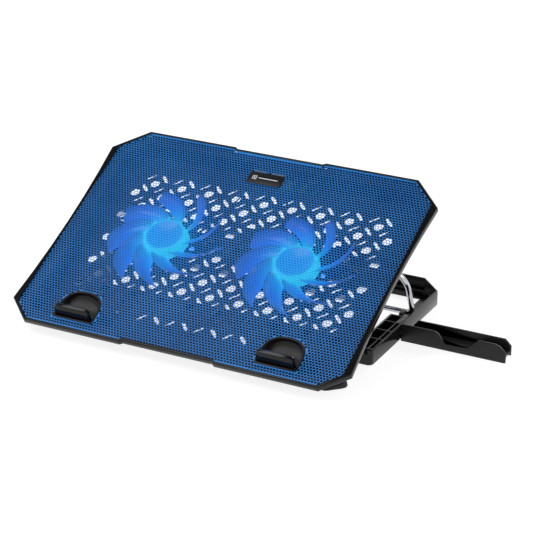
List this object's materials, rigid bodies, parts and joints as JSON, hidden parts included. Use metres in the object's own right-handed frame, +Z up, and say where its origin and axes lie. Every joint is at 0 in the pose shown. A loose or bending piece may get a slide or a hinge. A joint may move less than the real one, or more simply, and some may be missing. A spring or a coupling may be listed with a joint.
{
  "type": "laptop cooling pad",
  "caption": "Tilted eight-sided cooling pad with a perforated metal top over fans, flip-up stoppers, a ring base with a wire bail prop, and a swing-out phone holder.",
  "frame": {"origin": "centre of the bounding box's bottom face, on the desk plane, pad raised and phone holder swung out", "axes": "+Z up from the desk, +X to the user's right along the pad's front edge, +Y away from the user"},
  "size_m": [0.462, 0.2668, 0.1332],
  "materials": {
    "gloss_black": "polished black ABS",
    "satin_black": "fine moulded texture",
    "mesh_blue": "blue coated perforated sheet",
    "chrome": "bright plated wire",
    "steel": "plain steel",
    "rubber": "matt silicone",
    "fan_blue": "translucent plastic lit blue",
    "copper": "enamelled copper windings",
    "brass": "sintered bronze",
    "board_green": "solder mask",
    "led_white": "lamp lens",
    "wire_black": "insulated wire"
  },
  "bodies": {
    "base": {"base_frame": "gloss_black", "base_foot_front_left": "rubber", "base_foot_front_right": "rubber", "base_foot_rear_left": "rubber", "base_foot_rear_right": "rubber", "notch_rack_left": "satin_black", "notch_rack_right": "satin_black", "holder_pin": "steel"},
    "pad": {"top_frame": "gloss_black", "mesh_panel": "mesh_blue", "bottom_cover": "satin_black", "badge": "satin_black", "control_board": "board_green", "fan_switch": "satin_black", "light_switch": "satin_black", "bail_clip_left": "satin_black", "bail_clip_middle": "satin_black", "bail_clip_right": "satin_black", "pad_foot_left": "rubber", "hinge_bracket_left": "satin_black", "hinge_pin_left": "steel", "bracket_screw_left_a": "steel", "bracket_screw_left_b": "steel", "usb_socket_left": "steel", "stopper_pocket_left": "satin_black", "stopper_pin_left": "steel", "fan_bearing_left": "brass", "fan_stator_left": "copper", "motor_board_left": "board_green", "led_left_a": "led_white", "led_left_b": "led_white", "fan_lead_left": "wire_black", "pad_foot_right": "rubber", "hinge_bracket_right": "satin_black", "hinge_pin_right": "steel", "bracket_screw_right_a": "steel", "bracket_screw_right_b": "steel", "usb_socket_right": "steel", "stopper_pocket_right": "satin_black", "stopper_pin_right": "steel", "fan_bearing_right": "brass", "fan_stator_right": "copper", "motor_board_right": "board_green", "led_right_a": "led_white", "led_right_b": "led_white", "fan_lead_right": "wire_black"},
    "prop_bail": {"bail_wire": "chrome"},
    "swing_holder": {"phone_holder": "satin_black", "holder_grip": "rubber"},
    "left_fan": {"fan_rotor_left": "fan_blue", "fan_shaft_left": "steel"},
    "right_fan": {"fan_rotor_right": "fan_blue", "fan_shaft_right": "steel"},
    "left_stopper": {"stopper_left": "gloss_black"},
    "right_stopper": {"stopper_right": "gloss_black"},
    "fan_button_cap": {"fan_button": "satin_black"},
    "light_button_cap": {"light_button": "satin_black"}
  },
  "joints": [
    {"name": "pad_tilt", "type": "hinge", "parent": "base", "child": "pad", "pos_m": [-0.04855, -0.07994, 0.00807], "axis": [1, 0, 0], "range_deg": [-26.8, 0]},
    {"name": "bail_fold", "type": "hinge", "parent": "pad", "child": "prop_bail", "pos_m": [-0.04855, 0.03677, 0.06758], "axis": [1, 0, 0], "range_deg": [0, 99.08]},
    {"name": "holder_swing", "type": "hinge", "parent": "base", "child": "swing_holder", "pos_m": [0.13545, 0.02785, 0.005], "axis": [0, 0, 1], "range_deg": [0, 90]},
    {"name": "left_fan_spin", "type": "hinge", "parent": "pad", "child": "left_fan", "pos_m": [-0.12055, -0.00617, 0.06829], "axis": [0, -0.4509, 0.8926], "continuous": true},
    {"name": "right_fan_spin", "type": "hinge", "parent": "pad", "child": "right_fan", "pos_m": [0.02345, -0.00617, 0.06829], "axis": [0, -0.4509, 0.8926], "continuous": true},
    {"name": "left_stopper_flip", "type": "hinge", "parent": "pad", "child": "left_stopper", "pos_m": [-0.15805, -0.11746, 0.01936], "axis": [1, 0, 0], "range_deg": [-90, 0]},
    {"name": "right_stopper_flip", "type": "hinge", "parent": "pad", "child": "right_stopper", "pos_m": [0.06095, -0.11746, 0.01936], "axis": [1, 0, 0], "range_deg": [-90, 0]},
    {"name": "fan_button_press", "type": "slide", "parent": "pad", "child": "fan_button_cap", "axis": [0, -0.8926, -0.4509], "range_m": [0, 0.0008], "stiffness_N_per_m": 500},
    {"name": "light_button_press", "type": "slide", "parent": "pad", "child": "light_button_cap", "axis": [0, -0.8926, -0.4509], "range_m": [0, 0.0008], "stiffness_N_per_m": 500}
  ],
  "couplings": [
    {"joint": "bail_fold", "follows": "pad_tilt", "ratio": -3.695}
  ]
}
